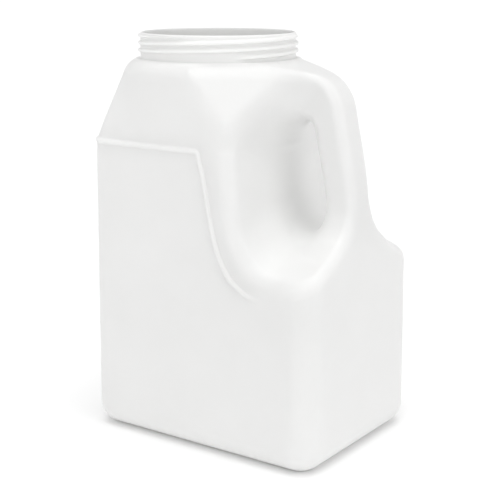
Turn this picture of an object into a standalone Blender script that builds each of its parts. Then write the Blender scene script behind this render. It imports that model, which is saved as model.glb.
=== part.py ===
"""Opaque F-style jug with a wide threaded mouth and a handle moulded into its body, empty and without a closure.

One hollow blow-moulded body. The origin is the centre of the base, +X runs toward the handle, the label faces are -Y and
+Y, and +Z is up. The sizes below are millimetres; the meshes are metres.

The outer form is a blended solid: a rectangular block, a tower under the mouth, a shoulder that turns from a rounded
rectangle into a circle, a pocket cut from both sides and a grip that spans it. form() gives the signed distance to it.
A cage of quads is laid on it, thinned with Decimate, and copied inward by the wall to make the hollow. The neck and its
two thread starts are rings spun around the mouth axis. Booleans join the pieces and open the mouth.
"""

import math

import bmesh
import bpy
import numpy as np

MM = 0.001

# body
HALF_LENGTH, HALF_DEPTH, CORNER = 90.5, 66.7, 16.5
BASE_ROUND, WALL, SWELL = 15.5, 1.5, 1.0
SHOULDER_Z, PLATFORM_Z = 203.4, 252.0
SHOULDER_R, FACET_TURN, FACET_LEAN = 64.0, 43.2, 0.527
PLATFORM_FALL, PLATFORM_ROUND = 0.13, 8.5
FOOT_INSET, FOOT_ROUND, PUSH_UP = 24.5, 10.0, 2.0

# mouth
NECK_X, NECK_R, CREST_R, BORE_R = -27.5, 53.3, 55.0, 51.7
NECK_Z, RIM_Z, LIP = 257.6, 275.3, 1.2
THREAD_LEAD, THREAD_WIDTH, THREAD_FADE = 10.0, 3.0, 14.0
THREADS = ((-43.4, 396.6, 260.9), (-223.4, 286.6, 260.9))  # first and last angle in degrees, first height

# pocket and grip
WALL_X, WALL_LEAN, RIM_X, RIM_ROUND, POCKET_ROUND = 28.5, 0.10, 31.0, 15.0, 30.0
SHELF_Z, SHELF_FALL, SHELF_FLAT = 141.4, 0.48, 20.0
CEILING_X, CEILING_Z, CEILING_RISE, CEILING_FLARE = 36.0, 212.0, 2.0, 0.62
GRIP_HALF, GRIP_THICK, GRIP_ROUND, GRIP_FOOT = 13.0, 24.0, 7.0, 28.0
GRIP_TOP_X, GRIP_TOP_Z, GRIP_LEAN = 79.2, 221.0, 0.2095
BAR_X, BAR_Z, BAR_FALL, BAR_ROUND = 40.5, 258.9, 0.29, 18.0
HOLE_TOP, HOLE_ROUND = 224.0, 9.0

CAGE, BODY_TRIANGLES, NECK_SIDES = 3.5, 3000, 72


def join(a, b, r):
    """Union of two distances, with a fillet of radius r in the inner corner."""
    return np.maximum(r, np.minimum(a, b)) - np.hypot(np.maximum(r - a, 0), np.maximum(r - b, 0))


def meet(a, b, r):
    """Intersection of two distances, with the outer corner rounded to radius r."""
    return np.minimum(-r, np.maximum(a, b)) + np.hypot(np.maximum(r + a, 0), np.maximum(r + b, 0))


def ease(v, low, high):
    t = np.clip((v - low) / (high - low), 0, 1)
    return t * t * (3 - 2 * t)


def rounded_rectangle(x, y, left, right, half, r):
    qx = np.abs(x - (left + right) / 2) - (right - left) / 2 + r
    qy = np.abs(y) - half + r
    return np.minimum(np.maximum(qx, qy), 0) + np.hypot(np.maximum(qx, 0), np.maximum(qy, 0)) - r


def form(x, y, z):
    """Signed distance in mm to the outer surface without the neck, negative inside."""
    ay = np.abs(y)
    soft = np.sqrt(ay * ay + 36.0) - 6.0

    # tower: left of the pocket's inner wall and above the ceiling that climbs to the front and to the grip, and behind
    # the flat facet that leans back from the pocket's rim to the mouth
    t = (z - SHOULDER_Z) / (PLATFORM_Z - SHOULDER_Z)
    wall = x - WALL_X - WALL_LEAN * np.maximum(SHOULDER_Z - z, 0) - 2.0 * (1 - ease(ay, 0, 50))
    ceiling = (CEILING_Z + CEILING_RISE * (x - CEILING_X) + CEILING_FLARE * soft - z) * 0.44
    tower = join(wall, ceiling, 14)
    turn = math.radians(FACET_TURN)
    facet = (x - RIM_X) * math.sin(turn) + (ay - HALF_DEPTH) * math.cos(turn) + FACET_LEAN * (z - SHOULDER_Z)

    # grip and top bar: a plate with rounded edges and a hole behind the fingers
    inner = (x - (GRIP_TOP_X + (GRIP_TOP_Z - z) * GRIP_LEAN - GRIP_THICK)) * 0.979
    hole = meet(meet(inner, z - HOLE_TOP, HOLE_ROUND), 100 - z, 5)
    plate = np.maximum(meet(ay - GRIP_HALF, -hole, GRIP_ROUND), -x)

    # below the shoulder: block, shelf, grip foot and pocket
    drop = np.sqrt(np.maximum(soft - SHELF_FLAT, 0) ** 2 + 36.0) - 6.0
    shelf = (z - SHELF_Z + SHELF_FALL * drop) * 0.905
    low = join(meet(tower, facet, 9), join(plate, shelf, GRIP_FOOT), POCKET_ROUND)
    plan = rounded_rectangle(x, y, -HALF_LENGTH, HALF_LENGTH, HALF_DEPTH, CORNER) - SWELL * (1 - ease(z, 30, 190))
    low = meet(low, plan, 8 + (RIM_ROUND - 8) * ease(z, 125, 165) * (1 - ease(x, 40, 65)))

    # above the shoulder: the plan turns into a circle around the mouth
    up = np.clip(t, 0, 1.15)
    square = rounded_rectangle(x, y, -HALF_LENGTH, 200, HALF_DEPTH, CORNER)
    circle = np.where(x < NECK_X, np.hypot(x - NECK_X, y), ay) - SHOULDER_R
    side = meet(square + (circle - square) * up, facet, 9.5 - 9 * np.clip(t, 0, 1))
    high = join(meet(tower, side, RIM_ROUND), plate, 18)
    body = low + (high - low) * ease(z, SHOULDER_Z - 3, SHOULDER_Z + 3)

    # outer line of the grip, falling top bar, platform round the mouth, base
    lean = (x - GRIP_TOP_X - (GRIP_TOP_Z - z) * GRIP_LEAN) * 0.979
    bar = (z - BAR_Z + BAR_FALL * (x - BAR_X)) * 0.956
    body = meet(body, meet(lean, bar, BAR_ROUND), GRIP_ROUND)
    body = meet(body, z - 258.0 + PLATFORM_FALL * (np.hypot(x - NECK_X, y) - NECK_R), PLATFORM_ROUND)
    body = meet(body, -z, BASE_ROUND)

    # shallow push-up inside the foot
    foot = rounded_rectangle(x, y, FOOT_INSET - HALF_LENGTH, HALF_LENGTH - FOOT_INSET, HALF_DEPTH - FOOT_INSET, FOOT_ROUND)
    return np.maximum(body, -meet(foot + z, z - PUSH_UP, 1.0))


def settle(points, level, rounds):
    """Moves each point onto the surface at this signed distance, and the foot exactly onto z = 0."""
    e = 0.05
    for _ in range(rounds):
        x, y, z = points.T
        d = form(x, y, z) - level
        slope = np.stack(
            [
                form(x + e, y, z) - form(x - e, y, z),
                form(x, y + e, z) - form(x, y - e, z),
                form(x, y, z + e) - form(x, y, z - e),
            ],
            1,
        ) / (2 * e)
        steep = np.maximum((slope * slope).sum(1), 0.15)
        points = points - slope * np.clip(d / steep, -2.5, 2.5)[:, None]
    if level == 0:
        points[np.abs(points[:, 2]) < 0.25, 2] = 0
    return points


def cage(size):
    """Quads laid on form(): one point in each grid cell that the surface crosses."""
    low, high = np.array([-96.0, -72.0, -6.0]), np.array([96.0, 72.0, 264.0])
    axes = [np.arange(low[i], high[i] + size, size) for i in range(3)]
    v = form(*np.meshgrid(*axes, indexing="ij"))
    shape = np.array(v.shape) - 1
    total, count = np.zeros((*shape, 3)), np.zeros(shape)
    quads = []
    number = np.full(shape, -1)
    crossings = []
    for axis in range(3):
        a = np.take(v, range(v.shape[axis] - 1), axis)
        b = np.take(v, range(1, v.shape[axis]), axis)
        i, j, k = np.nonzero((a < 0) != (b < 0))
        t = a[i, j, k] / (a[i, j, k] - b[i, j, k])
        at = np.stack([i, j, k], 1).astype(float)
        at[:, axis] += t
        at = low + at * size
        others = [o for o in range(3) if o != axis]
        ring = []
        for du, dv in ((0, 0), (1, 0), (1, 1), (0, 1)):
            cell = np.stack([i, j, k], 1)
            cell[:, others[0]] -= du
            cell[:, others[1]] -= dv
            ring.append(cell)
            np.add.at(total, tuple(cell.T), at)
            np.add.at(count, tuple(cell.T), 1)
        turn = (a[i, j, k] < 0) == (axis != 1)
        crossings.append((ring, turn))
    used = count > 0
    number[used] = np.arange(used.sum())
    points = total[used] / count[used][:, None]
    for ring, turn in crossings:
        quad = np.stack([number[tuple(cell.T)] for cell in ring], 1)
        quad[~turn] = quad[~turn][:, ::-1]
        quads.append(quad)
    return points, np.concatenate(quads)


def mesh_of(name, points, faces):
    mesh = bpy.data.meshes.new(name)
    mesh.from_pydata((np.asarray(points) * MM).tolist(), [], [list(map(int, f)) for f in faces])
    mesh.validate()
    bm = bmesh.new()
    bm.from_mesh(mesh)
    bmesh.ops.recalc_face_normals(bm, faces=bm.faces)
    bm.to_mesh(mesh)
    bm.free()
    return mesh


def add(name, mesh, helper=False):
    obj = bpy.data.objects.new(name, mesh)
    bpy.context.scene.collection.objects.link(obj)
    if helper:
        obj.hide_render = True
        obj.display_type = "WIRE"
    return obj


def thinned(mesh, triangles):
    """The mesh after Decimate has collapsed it to about this many triangles, evenly on both sides of y = 0."""
    obj = add("thinned", mesh, True)
    modifier = obj.modifiers.new("Decimate", "DECIMATE")
    modifier.use_collapse_triangulate = True
    modifier.ratio = triangles / sum(len(p.vertices) - 2 for p in mesh.polygons)
    modifier.use_symmetry = True
    modifier.symmetry_axis = "Y"
    bpy.context.view_layer.update()
    out = bpy.data.meshes.new_from_object(obj.evaluated_get(bpy.context.evaluated_depsgraph_get()))
    bpy.data.objects.remove(obj)
    return out


def points_of(mesh):
    flat = np.empty(len(mesh.vertices) * 3, np.float32)
    mesh.vertices.foreach_get("co", flat)
    return flat.reshape(-1, 3).astype(float) / MM


def thread(angle, z):
    """How far the thread stands out of the neck, in mm, at this angle in degrees and height in mm."""
    out = np.zeros_like(z)
    for first, last, start in THREADS:
        for turn in (-360, 0, 360, 720):
            a = angle + turn
            mid = start + THREAD_LEAD * (a - first) / 360
            ends = np.clip((a - first) / THREAD_FADE, 0, 1) * np.clip((last - a) / THREAD_FADE, 0, 1)
            away = np.abs(z - mid) / (THREAD_WIDTH / 2)
            bump = np.clip(1.9 * (1 - away), 0, 1)
            out = np.maximum(out, (CREST_R - NECK_R) * ends * bump)
    return out


def turned(name, profile, sides, carve=None):
    """Closed solid spun around the mouth axis from an outer profile of (radius, z), bottom to top."""
    angles = np.arange(sides) * 360.0 / sides
    points, faces = [], []
    for r, z in profile:
        radii = np.full(sides, float(r))
        if carve is not None:
            radii = radii + carve(angles, np.full(sides, float(z)))
        a = np.radians(angles)
        points += list(zip(NECK_X + radii * np.cos(a), radii * np.sin(a), np.full(sides, float(z))))
    for ring in range(len(profile) - 1):
        for s in range(sides):
            n = (s + 1) % sides
            faces.append((ring * sides + s, ring * sides + n, (ring + 1) * sides + n, (ring + 1) * sides + s))
    faces.append(tuple(range(sides))[::-1])
    faces.append(tuple((len(profile) - 1) * sides + s for s in range(sides)))
    return mesh_of(name, points, faces)


def neck_profile():
    rows = [(NECK_R + 1.6, 252.5), (NECK_R + 1.6, NECK_Z - 0.2), (NECK_R + 0.5, NECK_Z + 0.7)]
    low, high = NECK_Z + 1.4, RIM_Z - LIP
    count = 17
    rows += [(NECK_R, low + (high - low) * i / count) for i in range(count + 1)]
    rows += [(NECK_R - LIP * (1 - math.cos(math.radians(a))), high + LIP * math.sin(math.radians(a))) for a in (45, 80)]
    return rows


def bore_profile():
    return [(BORE_R, 246.0), (BORE_R, RIM_Z - 0.9), (BORE_R + 0.3, RIM_Z - 0.25), (BORE_R + 0.9, RIM_Z + 0.2), (BORE_R + 0.9, RIM_Z + 5)]


def boolean(obj, other, operation):
    modifier = obj.modifiers.new(other.name, "BOOLEAN")
    modifier.operation = operation
    modifier.solver = "EXACT"
    modifier.object = other


for old in list(bpy.data.objects):
    bpy.data.objects.remove(old, do_unlink=True)

points, quads = cage(CAGE)
outer = thinned(mesh_of("cage", settle(points, 0.0, 6), quads), BODY_TRIANGLES)
faces = [tuple(p.vertices) for p in outer.polygons]
outside = settle(points_of(outer), 0.0, 6)
inside = settle(outside.copy(), -WALL, 8)

jug = add("jug", mesh_of("jug", outside, faces))
hollow = add("hollow", mesh_of("hollow", inside, faces), True)
neck = add("neck", turned("neck", neck_profile(), NECK_SIDES, thread), True)
bore = add("bore", turned("bore", bore_profile(), NECK_SIDES), True)
boolean(jug, neck, "UNION")
boolean(jug, hollow, "DIFFERENCE")
boolean(jug, bore, "DIFFERENCE")
jug.data.shade_smooth()
even = jug.modifiers.new("WeightedNormal", "WEIGHTED_NORMAL")
even.weight = 80

plastic = bpy.data.materials.new("white_hdpe")
plastic.use_nodes = True
shader = plastic.node_tree.nodes["Principled BSDF"]
shader.inputs["Base Color"].default_value = (0.86, 0.86, 0.85, 1)
shader.inputs["Roughness"].default_value = 0.4
shader.inputs["Metallic"].default_value = 0
jug.data.materials.append(plastic)
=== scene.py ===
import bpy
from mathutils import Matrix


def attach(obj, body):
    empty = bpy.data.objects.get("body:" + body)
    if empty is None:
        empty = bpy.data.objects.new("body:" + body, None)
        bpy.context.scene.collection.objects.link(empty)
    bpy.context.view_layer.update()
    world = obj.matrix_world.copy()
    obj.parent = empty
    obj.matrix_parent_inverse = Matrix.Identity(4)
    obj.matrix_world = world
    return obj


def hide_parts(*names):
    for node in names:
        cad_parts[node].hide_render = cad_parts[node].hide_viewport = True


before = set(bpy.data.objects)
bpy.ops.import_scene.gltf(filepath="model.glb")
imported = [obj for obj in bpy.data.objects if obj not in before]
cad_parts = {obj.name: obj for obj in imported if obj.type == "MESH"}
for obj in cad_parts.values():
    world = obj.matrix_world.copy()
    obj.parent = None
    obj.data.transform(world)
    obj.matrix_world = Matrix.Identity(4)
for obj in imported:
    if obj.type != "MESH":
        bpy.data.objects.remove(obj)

"""Studio view of the jug. The part's solid gives the sizes and the collision; here its outer form is laid on a finer
cage, with the raised line that frames each label panel, the parting line, a finely turned neck with its thread, the
inside of the wall, and a satin polyethylene material. The sizes below are millimetres, as in the part."""

import math

import bpy
import numpy as np
from mathutils import Vector

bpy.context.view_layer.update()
MM = 0.001

# body
HALF_LENGTH, HALF_DEPTH, CORNER = 90.5, 66.7, 16.5
BASE_ROUND, WALL, SWELL = 15.5, 1.5, 1.0
SHOULDER_Z, PLATFORM_Z = 203.4, 252.0
SHOULDER_R, FACET_TURN, FACET_LEAN = 64.0, 43.2, 0.527
PLATFORM_FALL, PLATFORM_ROUND = 0.13, 8.5
FOOT_INSET, FOOT_ROUND, PUSH_UP = 24.5, 10.0, 2.0

# mouth
NECK_X, NECK_R, CREST_R, BORE_R = -27.5, 53.3, 55.0, 51.7
NECK_Z, RIM_Z, LIP = 257.6, 275.27, 1.2
THREAD_LEAD, THREAD_WIDTH, THREAD_FADE = 10.0, 3.0, 14.0
THREADS = ((-43.4, 396.6, 260.9), (-223.4, 286.6, 260.9))  # first and last angle in degrees, first height

# pocket and grip
WALL_X, WALL_LEAN, RIM_X, RIM_ROUND, POCKET_ROUND = 28.5, 0.10, 31.0, 9.5, 30.0
SHELF_Z, SHELF_FALL, SHELF_FLAT = 141.4, 0.48, 20.0
CEILING_X, CEILING_Z, CEILING_RISE, CEILING_FLARE = 36.0, 212.0, 2.0, 0.62
GRIP_HALF, GRIP_THICK, GRIP_ROUND, GRIP_FOOT = 13.0, 24.0, 7.0, 28.0
GRIP_TOP_X, GRIP_TOP_Z, GRIP_LEAN = 79.2, 221.0, 0.2095
BAR_X, BAR_Z, BAR_FALL, BAR_ROUND = 40.5, 258.9, 0.29, 18.0
HOLE_TOP, HOLE_ROUND = 224.0, 9.0

# fine mesh
CAGE, INSIDE_CAGE, INNER_WALL = 2.0, 4.6, 1.4
NECK_SIDES, NECK_ROWS, SKIRT_R = 224, 68, 57.4

# raised line round the label panel, as (x, z) of its centre, and the parting line
RIDGE = ((-200, 203.4), (-1.0, 203.4), (4.2, 203.0), (5.6, 197.5), (8.3, 188), (10.6, 178), (12.3, 168), (14.0, 160), (15.9, 152),
         (18.2, 144), (21.2, 136), (25.4, 128.5), (30.6, 122.2), (36, 118.0), (41.5, 115.1), (47.5, 112.8), (55, 111.2))
RIDGE_HALF, RIDGE_HIGH, PANEL_DEEP = 2.4, 0.85, 0.35
PARTING_HALF, PARTING_HIGH = 0.45, 0.12


def join(a, b, r):
    """Union of two distances, with a fillet of radius r in the inner corner."""
    return np.maximum(r, np.minimum(a, b)) - np.hypot(np.maximum(r - a, 0), np.maximum(r - b, 0))


def meet(a, b, r):
    """Intersection of two distances, with the outer corner rounded to radius r."""
    return np.minimum(-r, np.maximum(a, b)) + np.hypot(np.maximum(r + a, 0), np.maximum(r + b, 0))


def ease(v, low, high):
    t = np.clip((v - low) / (high - low), 0, 1)
    return t * t * (3 - 2 * t)


def rounded_rectangle(x, y, left, right, half, r):
    qx = np.abs(x - (left + right) / 2) - (right - left) / 2 + r
    qy = np.abs(y) - half + r
    return np.minimum(np.maximum(qx, qy), 0) + np.hypot(np.maximum(qx, 0), np.maximum(qy, 0)) - r


def form(x, y, z):
    """Signed distance in mm to the outer surface without the neck, negative inside."""
    ay = np.abs(y)
    soft = np.sqrt(ay * ay + 36.0) - 6.0

    # tower: left of the pocket's inner wall and above the ceiling that climbs to the front and to the grip, and behind
    # the flat facet that leans back from the pocket's rim to the mouth
    t = (z - SHOULDER_Z) / (PLATFORM_Z - SHOULDER_Z)
    wall = x - WALL_X - WALL_LEAN * np.maximum(SHOULDER_Z - z, 0) - 2.0 * (1 - ease(ay, 0, 50))
    ceiling = (CEILING_Z + CEILING_RISE * (x - CEILING_X) + CEILING_FLARE * soft - z) * 0.44
    tower = join(wall, ceiling, 9)
    turn = math.radians(FACET_TURN)
    facet = (x - RIM_X) * math.sin(turn) + (ay - HALF_DEPTH) * math.cos(turn) + FACET_LEAN * (z - SHOULDER_Z)

    # grip and top bar: a plate with rounded edges and a hole behind the fingers
    inner = (x - (GRIP_TOP_X + (GRIP_TOP_Z - z) * GRIP_LEAN - GRIP_THICK)) * 0.979
    hole = meet(meet(inner, z - HOLE_TOP, HOLE_ROUND), 100 - z, 5)
    plate = np.maximum(meet(ay - GRIP_HALF, -hole, GRIP_ROUND), -x)

    # below the shoulder: block, shelf, grip foot and pocket
    drop = np.sqrt(np.maximum(soft - SHELF_FLAT, 0) ** 2 + 36.0) - 6.0
    shelf = (z - SHELF_Z + SHELF_FALL * drop) * 0.905
    low = join(meet(tower, facet, 7), join(plate, shelf, GRIP_FOOT), POCKET_ROUND)
    plan = rounded_rectangle(x, y, -HALF_LENGTH, HALF_LENGTH, HALF_DEPTH, CORNER) - SWELL * (1 - ease(z, 30, 190))
    low = meet(low, plan, 8 + (RIM_ROUND - 8) * ease(z, 125, 165) * (1 - ease(x, 40, 65)))

    # above the shoulder: the plan turns into a circle around the mouth
    up = np.clip(t, 0, 1.15)
    square = rounded_rectangle(x, y, -HALF_LENGTH, 200, HALF_DEPTH, CORNER)
    circle = np.where(x < NECK_X, np.hypot(x - NECK_X, y), ay) - SHOULDER_R
    side = meet(square + (circle - square) * up, facet, 9.5 - 7 * np.clip(t, 0, 1))
    high = join(meet(tower, side, RIM_ROUND), plate, 18)
    body = low + (high - low) * ease(z, SHOULDER_Z - 3, SHOULDER_Z + 3)

    # outer line of the grip, falling top bar, platform round the mouth, base
    lean = (x - GRIP_TOP_X - (GRIP_TOP_Z - z) * GRIP_LEAN) * 0.979
    bar = (z - BAR_Z + BAR_FALL * (x - BAR_X)) * 0.956
    body = meet(body, meet(lean, bar, BAR_ROUND), GRIP_ROUND)
    body = meet(body, z - 258.0 + PLATFORM_FALL * (np.hypot(x - NECK_X, y) - NECK_R), PLATFORM_ROUND)
    body = meet(body, -z, BASE_ROUND)

    # shallow push-up inside the foot
    foot = rounded_rectangle(x, y, FOOT_INSET - HALF_LENGTH, HALF_LENGTH - FOOT_INSET, HALF_DEPTH - FOOT_INSET, FOOT_ROUND)
    return np.maximum(body, -meet(foot + z, z - PUSH_UP, 1.0))


def rounded(path, rounds=3):
    """The path with its corners cut again and again, which leaves a smooth curve with the same ends."""
    pts = np.array(path, float)
    for _ in range(rounds):
        a, b = pts[:-1], pts[1:]
        cut = np.stack([0.75 * a + 0.25 * b, 0.25 * a + 0.75 * b], 1).reshape(-1, 2)
        pts = np.concatenate([pts[:1], cut[1:-1], pts[-1:]])
    return pts


LINE = rounded(RIDGE)


def to_path(x, z, path):
    """Distance in mm from each (x, z) to a path, and how far along the path the nearest point lies, from 0 to 1."""
    best, along = np.full_like(x, 1e9), np.zeros_like(x)
    pts = np.array(path, float)
    steps = np.hypot(*(pts[1:] - pts[:-1]).T)
    done = 0.0
    for a, b, step in zip(pts[:-1], pts[1:], steps):
        t = np.clip(((x - a[0]) * (b[0] - a[0]) + (z - a[1]) * (b[1] - a[1])) / step**2, 0, 1)
        d = np.hypot(x - a[0] - t * (b[0] - a[0]), z - a[1] - t * (b[1] - a[1]))
        near = d < best
        best = np.where(near, d, best)
        along = np.where(near, (done + t * step) / steps.sum(), along)
        done += step
    return best, along


def relief(x, y, z):
    """How far the skin stands out of form(), in mm."""
    ay = np.abs(y)
    d, along = to_path(x, z, LINE)
    outside = np.maximum(ease(ay, 54, 62), ease(-x, 70, 80))
    fade = 1 - ease(x, 38, 54) * ease(-z, -125, -115)
    line = (RIDGE_HIGH * (1 - ease(d, 0.15 * RIDGE_HALF, RIDGE_HALF)) - PANEL_DEEP * (1 - ease(d, 3.5, 12))) * outside * fade
    seam = PARTING_HIGH * (1 - ease(ay, 0.3 * PARTING_HALF, PARTING_HALF))
    return line + seam * ease(z, 6, 14)


def skin(x, y, z):
    return form(x, y, z) - relief(x, y, z)


def slopes(field, points, e=0.05):
    x, y, z = points.T
    return np.stack(
        [
            field(x + e, y, z) - field(x - e, y, z),
            field(x, y + e, z) - field(x, y - e, z),
            field(x, y, z + e) - field(x, y, z - e),
        ],
        1,
    ) / (2 * e)


def settle(points, field, level, rounds):
    """Moves each point onto the surface where the field has this value."""
    for _ in range(rounds):
        d = field(*points.T) - level
        slope = slopes(field, points)
        steep = np.maximum((slope * slope).sum(1), 0.15)
        points = points - slope * np.clip(d / steep, -2.5, 2.5)[:, None]
    return points


def cage(size):
    """Quads laid on form(), facing out: one point in each grid cell that the surface crosses."""
    low, high = np.array([-96.0, -72.0, -6.0]), np.array([96.0, 72.0, 270.0])
    axes = [np.arange(low[i], high[i] + size, size) for i in range(3)]
    v = form(*np.meshgrid(*axes, indexing="ij"))
    shape = np.array(v.shape) - 1
    total, count = np.zeros((*shape, 3)), np.zeros(shape)
    crossings = []
    for axis in range(3):
        a = np.take(v, range(v.shape[axis] - 1), axis)
        b = np.take(v, range(1, v.shape[axis]), axis)
        i, j, k = np.nonzero((a < 0) != (b < 0))
        t = a[i, j, k] / (a[i, j, k] - b[i, j, k])
        at = np.stack([i, j, k], 1).astype(float)
        at[:, axis] += t
        at = low + at * size
        others = [o for o in range(3) if o != axis]
        ring = []
        for du, dv in ((0, 0), (1, 0), (1, 1), (0, 1)):
            cell = np.stack([i, j, k], 1)
            cell[:, others[0]] -= du
            cell[:, others[1]] -= dv
            ring.append(cell)
            np.add.at(total, tuple(cell.T), at)
            np.add.at(count, tuple(cell.T), 1)
        crossings.append((ring, (a[i, j, k] < 0) == (axis != 1)))
    number = np.full(shape, -1)
    used = count > 0
    number[used] = np.arange(used.sum())
    quads = []
    for ring, turn in crossings:
        quad = np.stack([number[tuple(cell.T)] for cell in ring], 1)
        quad[~turn] = quad[~turn][:, ::-1]
        quads.append(quad)
    return total[used] / count[used][:, None], np.concatenate(quads)


def opened(points, quads, radius):
    """The quads without those inside this radius under the mouth, and the rim of the hole in order of angle."""
    near = (np.hypot(points[:, 0] - NECK_X, points[:, 1]) < radius) & (points[:, 2] > 235)
    quads = quads[~near[quads].any(1)]
    ends = np.concatenate([quads[:, [i, (i + 1) % 4]] for i in range(4)])
    both = np.sort(ends, 1)
    _, first, number = np.unique(both, axis=0, return_index=True, return_counts=True)
    rim = np.unique(ends[first[number == 1]])
    angle = np.arctan2(points[rim, 1], points[rim, 0] - NECK_X)
    return quads, rim[np.argsort(angle)]


def split_near(points, quads, wanted, rounds):
    """Cuts each quad that wanted() picks into four, and turns its neighbours into fans that meet the new points."""
    polys = [tuple(q) for q in quads]
    points = list(map(tuple, points))
    for _ in range(rounds):
        centres = np.array([np.mean([points[i] for i in p], 0) for p in polys])
        chosen = wanted(centres) & np.array([len(p) == 4 for p in polys])
        middle = {}

        def mid(a, b):
            key = (a, b) if a < b else (b, a)
            if key not in middle:
                middle[key] = len(points)
                points.append(tuple((np.array(points[a]) + np.array(points[b])) / 2))
            return middle[key]

        new = []
        for p, pick in zip(polys, chosen):
            if pick:
                m = [mid(p[i], p[(i + 1) % 4]) for i in range(4)]
                c = len(points)
                points.append(tuple(np.mean([points[i] for i in p], 0)))
                new += [(p[i], m[i], c, m[i - 1]) for i in range(4)]
        for p, pick in zip(polys, chosen):
            if not pick:
                ring = []
                for i in range(len(p)):
                    a, b = p[i], p[(i + 1) % len(p)]
                    ring.append(a)
                    key = (a, b) if a < b else (b, a)
                    if key in middle:
                        ring.append(middle[key])
                new.append(tuple(ring))
        polys = new
    return np.array(points), polys


def zipped(ring_a, angles_a, ring_b, angles_b):
    """Triangles between two closed rings of points, both in order of angle, walking whichever is behind."""
    faces, i, j = [], 0, 0
    na, nb = len(ring_a), len(ring_b)
    while i < na or j < nb:
        next_a = angles_a[(i + 1) % na] + (2 * math.pi if i + 1 >= na else 0) if i < na else 1e9
        next_b = angles_b[(j + 1) % nb] + (2 * math.pi if j + 1 >= nb else 0) if j < nb else 1e9
        if next_a <= next_b:
            faces.append((ring_a[i % na], ring_a[(i + 1) % na], ring_b[j % nb]))
            i += 1
        else:
            faces.append((ring_a[i % na], ring_b[(j + 1) % nb], ring_b[j % nb]))
            j += 1
    return faces


def thread(angle, z):
    """How far the thread stands out of the neck, in mm, at this angle in degrees and height in mm."""
    out = np.zeros_like(z)
    for first, last, start in THREADS:
        for turn in (-360, 0, 360, 720):
            a = angle + turn
            mid = start + THREAD_LEAD * (a - first) / 360
            ends = ease(a, first, first + THREAD_FADE) * ease(-a, -last, THREAD_FADE - last)
            off = (z - mid) / (THREAD_WIDTH / 2)
            bump = ease(-off, -1.25, -0.15) * ease(off, -1.15, -0.55)
            out = np.maximum(out, (CREST_R - NECK_R) * ends * bump)
    return out


def neck_rows():
    """Profile of the neck as (radius, z, carries thread), up the outside, over the rim and down the inside."""
    rows = [(SKIRT_R - 1.0, None, 0)]
    base, r = NECK_Z - 0.15, 1.3
    for i in range(9):
        a = math.radians(90 * i / 8)
        rows.append((NECK_R + r - r * math.sin(a), base + r - r * math.cos(a), 0))
    low, high = base + r + 0.05, RIM_Z - LIP
    rows += [(NECK_R, low + (high - low) * i / NECK_ROWS, 1) for i in range(1, NECK_ROWS + 1)]
    for a in range(15, 91, 15):
        a = math.radians(a)
        rows.append((NECK_R - LIP + LIP * math.cos(a), high + LIP * math.sin(a), 0))
    inner, r = BORE_R, 0.45
    rows += [(inner + r, RIM_Z, 0), (inner + 0.13, RIM_Z - 0.13, 0), (inner, RIM_Z - r, 0)]
    rows += [(inner, RIM_Z - r - (RIM_Z - r - 257.2) * i / 16, 0) for i in range(1, 17)]
    rows += [(inner + 0.25, 256.4, 0), (inner + 0.9, 255.9, 0)]
    return rows


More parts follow.
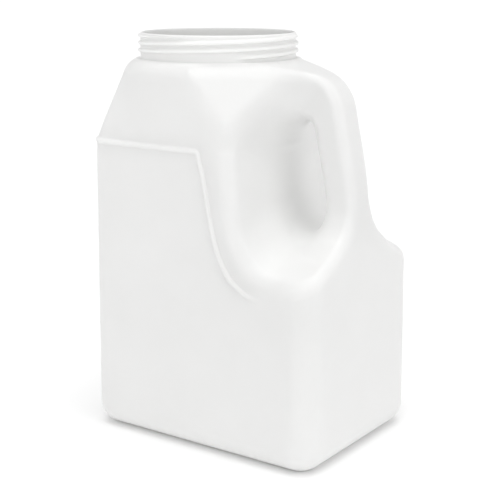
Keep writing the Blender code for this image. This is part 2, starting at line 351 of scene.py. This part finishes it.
def make_jug():
    points, quads = cage(CAGE)
    points = settle(points, form, 0.0, 6)
    quads, _ = opened(points, quads, SKIRT_R)
    keep, index = np.unique(quads, return_inverse=True)
    points, quads = points[keep], index.reshape(quads.shape)

    def by_line(c):
        d, along = to_path(c[:, 0], c[:, 2], LINE)
        return (d < RIDGE_HALF + 0.6) & ((np.abs(c[:, 1]) > 56) | (c[:, 0] < -72))

    points, polys = split_near(points, quads, by_line, 2)
    points = settle(points, form, 0.0, 4)
    out = slopes(form, points)
    out /= np.maximum(np.linalg.norm(out, axis=1), 1e-6)[:, None]
    points = points + out * relief(*points.T)[:, None]
    normals = slopes(skin, points)
    normals /= np.maximum(np.linalg.norm(normals, axis=1), 1e-6)[:, None]
    _, rim = opened_rim(points, polys)

    # neck, from the outer skirt over the lip to the inner edge
    rows, angles = neck_rows(), -math.pi + 2 * math.pi * np.arange(NECK_SIDES) / NECK_SIDES
    neck, neck_normals = [], []
    for r, z, threaded in rows:
        if z is None:
            z = 258.0 - PLATFORM_FALL * (r - NECK_R)
        radii = np.full(NECK_SIDES, float(r))
        if threaded:
            level, e = np.full(NECK_SIDES, float(z)), 0.05
            deg = np.degrees(angles)
            radii = radii + thread(deg, level)
            climb = (thread(deg, level + e) - thread(deg, level - e)) / (2 * e)
            swing = (thread(deg + e, level) - thread(deg - e, level)) / (2 * math.radians(e) * radii)
            n = np.stack([np.cos(angles) + swing * np.sin(angles), np.sin(angles) - swing * np.cos(angles), -climb], 1)
            neck_normals.append(n / np.linalg.norm(n, axis=1)[:, None])
        else:
            neck_normals.append(np.zeros((NECK_SIDES, 3)))
        neck.append(np.stack([NECK_X + radii * np.cos(angles), radii * np.sin(angles), np.full(NECK_SIDES, float(z))], 1))
    first = len(points)
    count = len(neck)
    neck = np.concatenate(neck)
    points, normals = np.concatenate([points, neck]), np.concatenate([normals, np.concatenate(neck_normals)])
    sides = np.arange(NECK_SIDES)
    for row in range(count - 1):
        a = first + row * NECK_SIDES
        for s in sides:
            n = (s + 1) % NECK_SIDES
            polys.append((a + s, a + n, a + NECK_SIDES + n, a + NECK_SIDES + s))
    rim_angles = np.arctan2(points[rim, 1], points[rim, 0] - NECK_X)
    polys += zipped(rim, rim_angles, first + sides, angles)

    # inside of the wall
    inner, quads = cage(INSIDE_CAGE)
    inner = settle(settle(inner, form, 0.0, 6), form, -INNER_WALL, 8)
    quads, inner_rim = opened(inner, quads, BORE_R + 2.6)
    keep, index = np.unique(quads, return_inverse=True)
    inner, quads = inner[keep], index.reshape(quads.shape)
    inner_rim = np.searchsorted(keep, inner_rim)
    inner_normals = -slopes(form, inner)
    inner_normals /= np.maximum(np.linalg.norm(inner_normals, axis=1), 1e-6)[:, None]
    start = len(points)
    points, normals = np.concatenate([points, inner]), np.concatenate([normals, inner_normals])
    polys += [tuple(start + q[::-1]) for q in quads]
    last = first + (count - 1) * NECK_SIDES
    inner_angles = np.arctan2(inner[inner_rim, 1], inner[inner_rim, 0] - NECK_X)
    polys += zipped(last + sides, angles, start + inner_rim, inner_angles)

    mesh = bpy.data.meshes.new("jug_moulding")
    mesh.from_pydata((points * MM).tolist(), [], [tuple(int(i) for i in p) for p in polys])
    mesh.validate()
    mesh.polygons.foreach_set("use_smooth", [True] * len(mesh.polygons))
    mesh.normals_split_custom_set_from_vertices([tuple(n) for n in normals])
    mesh.update()
    obj = bpy.data.objects.new("jug_moulding", mesh)
    bpy.context.scene.collection.objects.link(obj)
    return obj


def opened_rim(points, polys):
    """The points on the open edge, in order of their angle round the mouth."""
    seen = {}
    for p in polys:
        for i in range(len(p)):
            a, b = p[i], p[(i + 1) % len(p)]
            key = (a, b) if a < b else (b, a)
            seen[key] = seen.get(key, 0) + 1
    rim = np.array(sorted({i for key, n in seen.items() if n == 1 for i in key}))
    angle = np.arctan2(points[rim, 1], points[rim, 0] - NECK_X)
    return None, rim[np.argsort(angle)]


def node(tree, kind, at=(0, 0), **inputs):
    n = tree.nodes.new(kind)
    n.location = at
    for name, value in inputs.items():
        n.inputs[name.replace("_", " ")].default_value = value
    return n


def polyethylene():
    """White satin polyethylene: faint cloudiness, a slow sheen change, fine orange peel and long soft waves."""
    m = bpy.data.materials.new("satin_polyethylene")
    m.use_nodes = True
    t = m.node_tree
    shader = t.nodes["Principled BSDF"]
    shader.inputs["IOR"].default_value = 1.5
    shader.inputs["Metallic"].default_value = 0.0
    shader.inputs["Subsurface Weight"].default_value = 0.7
    shader.inputs["Subsurface Radius"].default_value = (0.0035, 0.0035, 0.0035)
    shader.inputs["Subsurface Scale"].default_value = 1.0
    where = node(t, "ShaderNodeTexCoord", (-1400, 0))
    cloud = node(t, "ShaderNodeTexNoise", (-1100, 300), Scale=14.0, Detail=3.0, Roughness=0.5)
    t.links.new(where.outputs["Object"], cloud.inputs["Vector"])
    tone = node(t, "ShaderNodeValToRGB", (-850, 300))
    tone.color_ramp.elements[0].position, tone.color_ramp.elements[1].position = 0.35, 0.68
    tone.color_ramp.elements[0].color = (0.80, 0.80, 0.792, 1)
    tone.color_ramp.elements[1].color = (0.825, 0.825, 0.817, 1)
    t.links.new(cloud.outputs["Fac"], tone.inputs["Fac"])
    t.links.new(tone.outputs["Color"], shader.inputs["Base Color"])
    sheen = node(t, "ShaderNodeTexNoise", (-1100, 0), Scale=30.0, Detail=2.0, Roughness=0.55)
    t.links.new(where.outputs["Object"], sheen.inputs["Vector"])
    rough = node(t, "ShaderNodeMapRange", (-850, 0))
    rough.inputs["To Min"].default_value, rough.inputs["To Max"].default_value = 0.36, 0.46
    t.links.new(sheen.outputs["Fac"], rough.inputs["Value"])
    t.links.new(rough.outputs["Result"], shader.inputs["Roughness"])
    wave = node(t, "ShaderNodeTexNoise", (-1100, -300), Scale=26.0, Detail=1.0, Roughness=0.4)
    peel = node(t, "ShaderNodeTexNoise", (-1100, -550), Scale=900.0, Detail=2.0, Roughness=0.5)
    for n in (wave, peel):
        t.links.new(where.outputs["Object"], n.inputs["Vector"])
    soft = node(t, "ShaderNodeBump", (-600, -300), Strength=0.12, Distance=0.003)
    fine = node(t, "ShaderNodeBump", (-350, -400), Strength=0.10, Distance=0.0002)
    t.links.new(wave.outputs["Fac"], soft.inputs["Height"])
    t.links.new(peel.outputs["Fac"], fine.inputs["Height"])
    t.links.new(soft.outputs["Normal"], fine.inputs["Normal"])
    t.links.new(fine.outputs["Normal"], shader.inputs["Normal"])
    return m


def ground():
    mesh = bpy.data.meshes.new("floor")
    s = 30.0
    mesh.from_pydata([(-s, -s, 0), (s, -s, 0), (s, s, 0), (-s, s, 0)], [], [(0, 1, 2, 3)])
    floor = bpy.data.objects.new("floor", mesh)
    bpy.context.scene.collection.objects.link(floor)
    m = bpy.data.materials.new("pale_floor")
    m.use_nodes = True
    shader = m.node_tree.nodes["Principled BSDF"]
    shader.inputs["Base Color"].default_value = (0.95, 0.95, 0.95, 1)
    shader.inputs["Roughness"].default_value = 0.9
    shader.inputs["Specular IOR Level"].default_value = 0.1
    mesh.materials.append(m)


def lamp(name, lean, strength, angle):
    """A broad soft light from above, leaning this many degrees towards +X and +Y."""
    data = bpy.data.lights.new(name, "SUN")
    data.energy, data.angle = strength, angle
    obj = bpy.data.objects.new(name, data)
    bpy.context.scene.collection.objects.link(obj)
    away = Vector((math.tan(math.radians(lean[0])), math.tan(math.radians(lean[1])), 1))
    obj.rotation_euler = away.to_track_quat("Z", "Y").to_euler()


def studio():
    world = bpy.data.worlds.new("studio")
    bpy.context.scene.world = world
    world.use_nodes = True
    back = world.node_tree.nodes["Background"]
    back.inputs["Color"].default_value = (1, 1, 1, 1)
    back.inputs["Strength"].default_value = 0.66
    lamp("key", (20, -54), 0.42, 0.9)
    lamp("back", (62, 180), 0.34, 0.6)
    lamp("top", (4, -4), 1.15, 0.8)
    lamp("fill", (64, -73), 0.11, 0.9)


def camera():
    data = bpy.data.cameras.new("camera")
    data.lens, data.sensor_width, data.clip_end = 85.13, 36.0, 100.0
    data.shift_y = -0.0702
    cam = bpy.data.objects.new("camera", data)
    bpy.context.scene.collection.objects.link(cam)
    turn, down = 0.6120, 0.2057
    cam.location = (0.460048, -0.656865, 0.317557)
    cam.rotation_euler = (math.pi / 2 - down, 0, turn)
    bpy.context.scene.camera = cam


jug = make_jug()
jug.data.materials.append(polyethylene())
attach(jug, "root")
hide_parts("jug")
ground()
studio()
camera()
bpy.context.scene.view_settings.view_transform = "Standard"
bpy.context.scene.cycles.diffuse_bounces = 8
bpy.context.scene.cycles.max_bounces = 12
print("jug triangles", sum(len(p.vertices) - 2 for p in jug.data.polygons))
